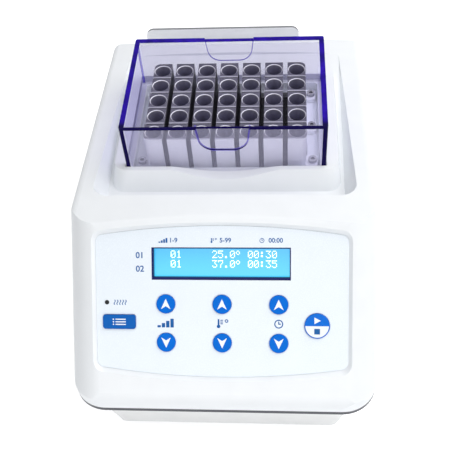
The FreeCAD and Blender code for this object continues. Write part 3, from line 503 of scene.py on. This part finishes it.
def display_glow():
    """Backlit display: cyan, paler towards its lower edge, under glossy glass."""
    material, tree, shader = new_material("display_glow")
    low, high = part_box("lcd_cell")
    fall = range_node(tree, split_node(tree, place_node(tree))[2], 1.0, 0.0, low.z, high.z)
    glow = mix_node(tree, fall, GLOW_TOP, GLOW_FOOT)
    cells = range_node(tree, noise_node(tree, scale=2600, detail=1), 0.0, CELL_SHARE)
    link(tree, mix_node(tree, cells, glow, CELL_BLUE), shader.inputs["Emission Color"])
    shader.inputs["Base Color"].default_value = GLASS_BLUE
    shader.inputs["Roughness"].default_value = 0.18
    shader.inputs["Emission Strength"].default_value = 0.9
    return material


def lit_dot():
    """Bright dot of a display character."""
    material, tree, shader = new_material("lit_dot")
    link(tree, drift_node(tree, DOT_WHITES, scale=1500, detail=1), shader.inputs["Emission Color"])
    shader.inputs["Base Color"].default_value = PRINT_WHITE
    shader.inputs["Emission Strength"].default_value = 0.95
    return material


def two_colour_key(middle, radius):
    """Round key: blue above, white below, with a blue ring round its edge."""
    material, tree, shader = new_material("two_colour_key")
    shift = vector_node(tree, "SUBTRACT", place_node(tree), middle).outputs["Vector"]
    rise = vector_node(tree, "DOT_PRODUCT", shift, PANEL_UP).outputs["Value"]
    reach = vector_node(tree, "LENGTH", shift).outputs["Value"]
    upper = range_node(tree, rise, 0, 1, -KEY_SPLIT_BLUR, KEY_SPLIT_BLUR)
    ring = range_node(tree, reach, 0, 1, radius - KEY_RING, radius - KEY_RING + KEY_RING_BLUR)
    blue = drift_node(tree, (shade(KEY_BLUE, 0.96), shade(KEY_BLUE, 1.05)), scale=300, detail=2)
    faces = mix_node(tree, upper, PRINT_WHITE, blue)
    link(tree, mix_node(tree, ring, faces, blue), shader.inputs["Base Color"])
    shader.inputs["Roughness"].default_value = 0.34
    shader.inputs["Specular IOR Level"].default_value = 0.12
    return material


# Materials by slot, and inks

SLOT_MATERIALS = {
    # The case and the pan carry the painted shade band along their parting line
    "housing_white": mottled("housing_plastic", HOUSING_WHITE, spread=0.012, roughness=(0.3, 0.38), bump=0.03,
                             seam_shade=True),
    "pan_grey": mottled("pan_plastic", PAN_GREY, roughness=(0.4, 0.5), bump=0.05, seam_shade=True),
    "plate_white": edged_plate(),
    "overlay_film": mottled("overlay_film", FILM_WHITE, spread=0.01, roughness=(0.22, 0.3), bump=0.02),
    "key_blue": mottled("key_blue", KEY_BLUE, spread=0.05, scale=200, bump=0.02, sheen=0.06),
    "key_navy": mottled("key_navy", KEY_NAVY, spread=0.05, scale=200, bump=0.02, sheen=0.12),
    "lid_violet": lid_acrylic(),
    "block_aluminium": milled_block(),
    "screw_steel": mottled("screw_steel", SCREW_GREY, spread=0.08, scale=900, metallic=0.9),
    "bracket_steel": mottled("bracket_steel", BRACKET_GREY, spread=0.06, metallic=0.9, stretch=(1, 20, 1)),
    "foot_rubber": mottled("foot_rubber", FOOT_BLACK, spread=0.15, roughness=(0.6, 0.8), bump=0.15),
    "heater_silicone": mottled("heater_silicone", HEATER_ORANGE, spread=0.08, roughness=(0.5, 0.65)),
    "insulation_felt": mottled("insulation_felt", FELT_CREAM, spread=0.1, grain=900, bump=0.5),
    "board_green": mottled("board_green", BOARD_GREEN, spread=0.1, scale=400),
    "transformer_core": mottled("transformer_core", CORE_BROWN, spread=0.15, scale=200),
    "black_plastic": mottled("black_plastic", PART_BLACK, spread=0.1, roughness=(0.4, 0.55), bump=0.08,
                             sheen=0.25),
    "rocker_black": mottled("rocker_black", PART_BLACK, spread=0.1, roughness=(0.2, 0.3)),
    "brass_posts": mottled("brass_posts", BRASS_YELLOW, spread=0.06, roughness=(0.25, 0.4), metallic=0.95),
}
INK = {"scale": 500, "bump": 0.02}
PRINT_INK = mottled("print_ink", PRINT_NAVY, spread=0.05, roughness=(0.3, 0.4), sheen=0.2, **INK)
WHITE_INK = mottled("white_ink", PRINT_WHITE, spread=0.02, roughness=(0.3, 0.4), **INK)
WINDOW_INK = mottled("window_ink", WINDOW_NAVY, spread=0.1, roughness=(0.35, 0.5), sheen=0.2, **INK)


# Drawing on the panel: x to the right, up the slope, and out of the panel

PRINT_THICKNESS = 0.06 * MM
CAP_DEPTH = 0.05 * MM


def panel_points(node):
    """Points of a CAD node as rows of (x, up, out)."""
    return np.array([(v.co.x, v.co.dot(PANEL_UP), v.co.dot(PANEL_OUT)) for v in NODES[node].data.vertices])


def panel_box(node):
    """Lowest and highest (x, up, out) of a CAD node."""
    points = panel_points(node)
    return points.min(0), points.max(0)


def key_middle(node):
    """Middle of a key's cap, and the height of its face, on the panel."""
    points = panel_points(node)
    top = points[:, 2].max()
    face = points[points[:, 2] > top - CAP_DEPTH]
    middle = (face.min(0) + face.max(0)) / 2
    return Vector((middle[0], middle[1], top))


def panel_point(x, up, out):
    return Vector((x, 0, 0)) + PANEL_UP * up + PANEL_OUT * out


def finish_mesh(name, bm, material, body):
    """Turns a bmesh into a piece with its material and body."""
    bmesh.ops.recalc_face_normals(bm, faces=bm.faces)
    mesh = bpy.data.meshes.new(name)
    bm.to_mesh(mesh)
    bm.free()
    piece = bpy.data.objects.new(name, mesh)
    bpy.context.scene.collection.objects.link(piece)
    piece.data.materials.append(material)
    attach(piece, body)
    return piece


def add_prism(bm, outer, low, high):
    """Closed plate on the panel from an outline of (x, up) points."""
    floor = [bm.verts.new(panel_point(x, up, low)) for x, up in outer]
    roof = [bm.verts.new(panel_point(x, up, high)) for x, up in outer]
    bm.faces.new(floor)
    bm.faces.new(roof)
    count = len(outer)
    for index in range(count):
        after = (index + 1) % count
        bm.faces.new((floor[index], floor[after], roof[after], roof[index]))


def add_frame(bm, outer, inner, low, high):
    """Closed ring on the panel between two outlines with as many points each."""
    loops = []
    for outline in (outer, inner):
        for out in (low, high):
            loops.append([bm.verts.new(panel_point(x, up, out)) for x, up in outline])
    outer_low, outer_high, inner_low, inner_high = loops
    count = len(outer)
    for index in range(count):
        after = (index + 1) % count
        for first, second in ((outer_low, outer_high), (outer_high, inner_high),
                              (inner_high, inner_low), (inner_low, outer_low)):
            bm.faces.new((first[index], first[after], second[after], second[index]))


def circle(x, up, radius, count=40):
    turns = [2 * math.pi * index / count for index in range(count)]
    return [(x + radius * math.cos(turn), up + radius * math.sin(turn)) for turn in turns]


def bar(x0, x1, up0, up1):
    return [(x0, up0), (x1, up0), (x1, up1), (x0, up1)]


def grown_bar(low, high, margin):
    """Outline of a box on the panel between two corners, grown by a margin."""
    return bar(low[0] - margin, high[0] + margin, low[1] - margin, high[1] + margin)


def arrow(x, up, size, way):
    """Notched arrowhead that points up or down the panel."""
    marks = ((0, 0.52), (-0.47, -0.5), (0, -0.2), (0.47, -0.5))
    return [(x + size * side, up + way * size * rise) for side, rise in marks]


def stroke(start, stop, width):
    """Straight stroke between two points, as an outline."""
    start, stop = Vector(start), Vector(stop)
    side = (stop - start).normalized().orthogonal() * (width / 2)
    return [tuple(start + side), tuple(stop + side), tuple(stop - side), tuple(start - side)]


FILM_TOP = panel_box("panel_overlay")[1][2]


def print_piece(name, outlines, rings=(), low=FILM_TOP, material=PRINT_INK, body="housing",
                slot="overlay_film"):
    """Ink on a face of the panel: filled outlines and rings, a print's thickness high."""
    bm = bmesh.new()
    for outer in outlines:
        add_prism(bm, outer, low, low + PRINT_THICKNESS)
    for outer, inner in rings:
        add_frame(bm, outer, inner, low, low + PRINT_THICKNESS)
    return finish_mesh(name, bm, material, body)


# Printed signs and figures: each sign gives outlines and rings, in shares of its size

FIGURE_WEIGHT = 0.016
FIGURE_WELD = 0.002 * MM


def stairs_sign(x, up, size, count=4):
    """Rising steps, for program segments."""
    step = size * 0.38
    pitch = step * 1.3
    foot = up - size / 2
    outlines = []
    for index in range(count):
        left = x + (index - count / 2) * pitch
        outlines.append(bar(left, left + step, foot, foot + size * (index + 1) / count))
    return outlines, []


def thermometer_sign(x, up, size):
    """Bulb, stem and scale marks, with a degree ring beside them."""
    stem = x - size * 0.4
    half_stem = size * 0.1
    half_mark = size * 0.05
    outlines = [circle(stem, up - size * 0.32, size * 0.2, 24)]
    outlines.append(bar(stem - half_stem, stem + half_stem, up - size * 0.14, up + size * 0.5))
    for index in range(3):
        height = up + size * (-0.02 + 0.2 * index)
        outlines.append(bar(stem + size * 0.2, stem + size * 0.5, height - half_mark, height + half_mark))
    degree = (x + size * 0.5, up + size * 0.3)
    return outlines, [(circle(*degree, size * 0.2), circle(*degree, size * 0.1))]


def clock_sign(x, up, size):
    """Dial with two hands."""
    hand = size * 0.11
    outlines = [stroke((x, up), (x, up + size * 0.3), hand)]
    outlines.append(stroke((x - size * 0.05, up), (x + size * 0.24, up), hand))
    return outlines, [(circle(x, up, size / 2), circle(x, up, size * 0.38))]


def heat_sign(x, up, size):
    """Row of rising waves."""
    half_wave = size * 0.09
    points = 13
    outlines = []
    for column in range(-2, 3):
        left, right = [], []
        for index in range(points):
            height = -0.5 + index / (points - 1)
            sway = 0.12 * math.sin(height * 2 * math.pi)
            middle = x + size * (column * 0.55 + sway)
            left.append((middle - half_wave, up + size * height))
            right.append((middle + half_wave, up + size * height))
        outlines.append(left + right[::-1])
    return outlines, []


def list_sign(x, up, size):
    """Short list: dots and lines."""
    half_line = size * 0.075
    outlines = []
    for index in (-1, 0, 1):
        height = up + index * size * 0.36
        outlines.append(circle(x - size * 0.82, height, size * 0.1, 16))
        outlines.append(bar(x - size * 0.52, x + size * 0.92, height - half_line, height + half_line))
    return outlines, []


def number_piece(name, digits, x, up, size):
    """Plain printed figures on the film."""
    curve = bpy.data.curves.new(name, "FONT")
    curve.body = digits
    curve.size = size
    curve.align_x = "CENTER"
    curve.align_y = "CENTER"
    curve.offset = size * FIGURE_WEIGHT
    curve.extrude = PRINT_THICKNESS / 2
    holder = bpy.data.objects.new(name + "_curve", curve)
    bpy.context.scene.collection.objects.link(holder)
    graph = bpy.context.evaluated_depsgraph_get()
    bm = bmesh.new()
    bm.from_mesh(bpy.data.meshes.new_from_object(holder.evaluated_get(graph)))
    bpy.data.objects.remove(holder)
    bmesh.ops.remove_doubles(bm, verts=bm.verts, dist=FIGURE_WELD)
    turn = Matrix((Vector((1, 0, 0)), PANEL_UP, PANEL_OUT)).transposed().to_4x4()
    place = Matrix.Translation(panel_point(x, up, FILM_TOP + PRINT_THICKNESS / 2))
    bm.transform(place @ turn)
    return finish_mesh(name, bm, PRINT_INK, "housing")


# What is printed on the film and on the keys

SIGNS = {"segment": stairs_sign, "temperature": thermometer_sign, "time": clock_sign}
HEADERS = {"segment": (-30.5 * MM, "1-9"), "temperature": (1.1 * MM, "5-99"), "time": (31.4 * MM, "00:00")}
HEADER_GAP = 4.7 * MM
HEADER_SIZE = 2.9 * MM
HEADER_FIGURE_SHIFT = 0.6 * HEADER_SIZE
FIGURE_SIZE = 3.9 * MM
HALF_FIGURE_WIDTH = 0.28 * FIGURE_SIZE
LABEL_SIZE = 5.4 * MM
ROW_FIGURES = (("01", 4.9 * MM), ("02", -3.4 * MM))
ROW_FIGURE_GAP = 7.6 * MM
ROW_FIGURE_SIZE = 5.2 * MM
HEAT_GAP = 8.2 * MM
HEAT_SIZE = 3.1 * MM
ARROW_SIZE = 6.3 * MM
LIST_SIZE = 4.4 * MM
START_STOP_RISE = 3.3 * MM
START_BACK = 1.6 * MM
START_TIP = 2.2 * MM
START_HALF_HEIGHT = 2.0 * MM
STOP_HALF_WIDTH = 1.7 * MM


def print_signs():
    """Headers over the display, labels between the keys, row figures and the heating sign."""
    low, high = panel_box("lcd_cell")
    header_up = high[1] + HEADER_GAP
    for name, sign in SIGNS.items():
        header_x, digits = HEADERS[name]
        shift = HALF_FIGURE_WIDTH * (len(digits) + 1)
        print_piece("header_" + name, *sign(header_x - shift, header_up, HEADER_SIZE))
        number_piece("header_figures_" + name, digits, header_x + HEADER_FIGURE_SHIFT, header_up, FIGURE_SIZE)
        upper = key_middle(name + "_up_key")
        lower = key_middle(name + "_down_key")
        print_piece("label_" + name, *sign(upper.x, (upper.y + lower.y) / 2, LABEL_SIZE))
    middle_up = (low[1] + high[1]) / 2
    for digits, rise in ROW_FIGURES:
        number_piece("row_" + digits, digits, low[0] - ROW_FIGURE_GAP, middle_up + rise, ROW_FIGURE_SIZE)
    lamp = key_middle("heating_led")
    print_piece("label_heat", *heat_sign(lamp.x + HEAT_GAP, lamp.y, HEAT_SIZE))


def print_on_key(name, outline_list, key, slot, material=WHITE_INK):
    """Ink on a key's face, which rides on the key."""
    print_piece(name, outline_list, low=key_middle(key).z, material=material, body=key, slot=slot)


def print_keys():
    """Arrows, list, start and stop signs on the keys."""
    for name in SIGNS:
        for way, word in ((1, "up"), (-1, "down")):
            node = name + "_" + word + "_key"
            middle = key_middle(node)
            marks = [arrow(middle.x, middle.y, ARROW_SIZE, way)]
            print_on_key(node + "_arrow", marks, node, "key_blue")
    middle = key_middle("program_key")
    print_on_key("program_key_sign", list_sign(middle.x, middle.y, LIST_SIZE)[0], "program_key", "key_navy")
    middle = key_middle("start_stop_key")
    rise = middle.y + START_STOP_RISE
    start = [(middle.x - START_BACK, rise - START_HALF_HEIGHT), (middle.x + START_TIP, rise)]
    start.append((middle.x - START_BACK, rise + START_HALF_HEIGHT))
    print_on_key("start_sign", [start], "start_stop_key", "key_start")
    centre = (middle.x, middle.y - START_STOP_RISE)
    stop = grown_bar(centre, centre, STOP_HALF_WIDTH)
    print_on_key("stop_sign", [stop], "start_stop_key", "key_start", PRINT_INK)


# Display: characters of 5 by 7 dots, and the dark window round them

DOTS = {
    "0": (".###.", "#...#", "#..##", "#.#.#", "##..#", "#...#", ".###."),
    "1": ("..#..", ".##..", "..#..", "..#..", "..#..", "..#..", ".###."),
    "2": (".###.", "#...#", "....#", "...#.", "..#..", ".#...", "#####"),
    "3": ("#####", "...#.", "..#..", "...#.", "....#", "#...#", ".###."),
    "5": ("#####", "#....", "####.", "....#", "....#", "#...#", ".###."),
    "7": ("#####", "#...#", "....#", "...#.", "..#..", "..#..", "..#.."),
    ":": (".....", ".##..", ".##..", ".....", ".##..", ".##..", "....."),
    ".": (".....", ".....", ".....", ".....", ".....", ".##..", ".##.."),
    "o": (".##..", "#..#.", "#..#.", ".##..", ".....", ".....", "....."),
}
MIDDLE_DOT_ROW = 3
DISPLAY_ROWS = ((5.2 * MM, "  01     25.0o 00:30"), (-0.7 * MM, "  01     37.0o 00:35"))
LETTER_PITCH = 3.64 * MM
TEXT_SHIFT = -2.0 * MM
DOT_PITCH = 0.62 * MM
DOT_SIZE = 0.52 * MM
DOT_STRETCH = 1.08
# The mask's foot and left side are wider: partly print, partly painted shade of the display's sunken inner walls
MASK_LEFT_AND_SHADE = 0.5 * MM
MASK_FOOT_AND_SHADE = 1.0 * MM
MASK_EDGE = 0.25 * MM
MASK_OVERLAP = 0.2 * MM
MASK_BELOW_FILM = 0.62 * MM
LINE_OVERLAP = 0.45 * MM


def display_characters():
    """Two rows of lit characters on the display's glass."""
    low, high = panel_box("lcd_cell")
    middle_x = (low[0] + high[0]) / 2
    middle_up = (low[1] + high[1]) / 2
    half = DOT_SIZE * DOT_STRETCH / 2
    bm = bmesh.new()
    for up, text in DISPLAY_ROWS:
        for place, letter in enumerate(text):
            left = middle_x + TEXT_SHIFT + (place - len(text) / 2) * LETTER_PITCH
            for row, line in enumerate(DOTS.get(letter, ())):
                rise = middle_up + up + (MIDDLE_DOT_ROW - row) * DOT_PITCH * DOT_STRETCH
                for column, mark in enumerate(line):
                    if mark == "#":
                        x = left + column * DOT_PITCH
                        dot = bar(x, x + DOT_SIZE, rise - half, rise + half)
                        add_prism(bm, dot, high[2], high[2] + PRINT_THICKNESS)
    return finish_mesh("display_characters", bm, lit_dot(), "housing")


def display_window():
    """Dark mask round the display, under the film and as a printed line on it; wider at its foot and left side,
    partly print and partly painted shade of the display's sunken inner walls.
    """
    low, high = panel_box("lcd_cell")
    inner = bar(low[0] + MASK_LEFT_AND_SHADE, high[0] - MASK_EDGE, low[1] + MASK_FOOT_AND_SHADE, high[1] - MASK_EDGE)
    bm = bmesh.new()
    add_frame(bm, grown_bar(low, high, MASK_OVERLAP), inner, high[2], FILM_TOP - MASK_BELOW_FILM)
    finish_mesh("display_mask", bm, WINDOW_INK, "housing")
    print_piece("display_line", [], [(grown_bar(low, high, LINE_OVERLAP), inner)], material=WINDOW_INK)


# Dressing of the CAD nodes

def dress_nodes():
    """Each node's material: its slot's, or its own for the display and the start key."""
    low, high = panel_box("start_stop_key")
    middle = panel_point(*key_middle("start_stop_key"))
    special = {
        "start_stop_key": two_colour_key(middle, (high[0] - low[0]) / 2),
        "lcd_cell": display_glow(),
    }
    for name, node in NODES.items():
        node.data.materials.clear()
        node.data.materials.append(special.get(name) or SLOT_MATERIALS[SLOTS[name]])


# Stage, lights and camera

CAMERA_LENS = 62.34
CAMERA_SENSOR = 36
CAMERA_NEAR = 0.01
CAMERA_YAW = math.radians(-6.88)
CAMERA_PITCH = math.radians(49.89)
CAMERA_ROLL = math.radians(-5.25)
CAMERA_FROM_BLOCK = Vector((38.83, -397.89, 344.97)) * MM
FLOOR_SIZE = 6.0
FLOOR_GLOW = 0.62
AMBIENT = 0.38
LAMP_TARGET = Vector((0, 0, 0.1))
# Each lamp's place, diameter and power
LAMPS = {
    "key_lamp": ((0.62, 0.3, 1.15), 1.2, 11.9),
    "front_lamp": ((0.05, -1.0, 0.4), 1.0, 4.5),
    "left_lamp": ((-0.9, 0.1, 0.9), 0.8, 0.5),
}


def make_camera():
    """Camera fitted to the photograph, placed from the middle of the block's top."""
    low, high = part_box("heating_block")
    block = Vector((0, (low.y + high.y) / 2, high.z))
    flat = math.cos(CAMERA_PITCH)
    ahead = Vector((math.sin(CAMERA_YAW) * flat, math.cos(CAMERA_YAW) * flat, -math.sin(CAMERA_PITCH)))
    level = Vector((math.cos(CAMERA_YAW), -math.sin(CAMERA_YAW), 0))
    upright = level.cross(ahead)
    right = level * math.cos(CAMERA_ROLL) + upright * math.sin(CAMERA_ROLL)
    top = upright * math.cos(CAMERA_ROLL) - level * math.sin(CAMERA_ROLL)
    data = bpy.data.cameras.new("camera")
    data.lens = CAMERA_LENS
    data.sensor_width = CAMERA_SENSOR
    data.sensor_fit = "AUTO"
    data.clip_start = CAMERA_NEAR
    camera = bpy.data.objects.new("camera", data)
    bpy.context.scene.collection.objects.link(camera)
    turn = Matrix((right, top, -ahead)).transposed().to_4x4()
    camera.matrix_world = Matrix.Translation(block + CAMERA_FROM_BLOCK) @ turn
    bpy.context.scene.camera = camera


def seen_share(tree):
    """1 for rays that show the background to the camera, straight, mirrored or through glass."""
    path = tree.nodes.new("ShaderNodeLightPath")
    total = path.outputs["Is Camera Ray"]
    for name in ("Is Glossy Ray", "Is Transmission Ray"):
        total = larger(tree, total, path.outputs[name])
    return total


def floor_paper():
    """Pale matt paper that glows only where it is seen, so that it keeps the object's shadow."""
    material, tree, shader = new_material("floor_paper")
    link(tree, drift_node(tree, FLOOR_WHITES, scale=3, detail=2), shader.inputs["Base Color"])
    shader.inputs["Roughness"].default_value = 0.9
    glow = tree.nodes.new("ShaderNodeEmission")
    link(tree, times(tree, seen_share(tree), FLOOR_GLOW), glow.inputs["Strength"])
    both = tree.nodes.new("ShaderNodeAddShader")
    link(tree, shader.outputs["BSDF"], both.inputs[0])
    link(tree, glow.outputs["Emission"], both.inputs[1])
    show_shader(tree, both)
    return material


def make_floor():
    """Square floor under the object."""
    bm = bmesh.new()
    bmesh.ops.create_grid(bm, x_segments=1, y_segments=1, size=FLOOR_SIZE / 2)
    mesh = bpy.data.meshes.new("floor")
    bm.to_mesh(mesh)
    bm.free()
    floor = bpy.data.objects.new("floor", mesh)
    bpy.context.scene.collection.objects.link(floor)
    floor.data.materials.append(floor_paper())


def make_lamp(name, place, size, power):
    """Round soft lamp that points at the object."""
    data = bpy.data.lights.new(name, "AREA")
    data.shape = "DISK"
    data.size = size
    data.energy = power
    lamp = bpy.data.objects.new(name, data)
    bpy.context.scene.collection.objects.link(lamp)
    lamp.location = place
    lamp.rotation_euler = (LAMP_TARGET - Vector(place)).to_track_quat("-Z", "Y").to_euler()


def make_lights():
    """White surroundings, dimmer as light than as a background, and the lamps."""
    world = bpy.data.worlds.new("studio")
    world.use_nodes = True
    tree = world.node_tree
    back = tree.nodes["Background"]
    link(tree, range_node(tree, seen_share(tree), AMBIENT, 1.0, 0, 1), back.inputs["Strength"])
    back.inputs["Color"].default_value = (1, 1, 1, 1)
    bpy.context.scene.world = world
    for name, (place, size, power) in LAMPS.items():
        make_lamp(name, place, size, power)


def main():
    dress_nodes()
    print_signs()
    print_keys()
    display_characters()
    display_window()
    make_floor()
    make_lights()
    make_camera()
    bpy.context.scene.view_settings.view_transform = "Standard"


main()
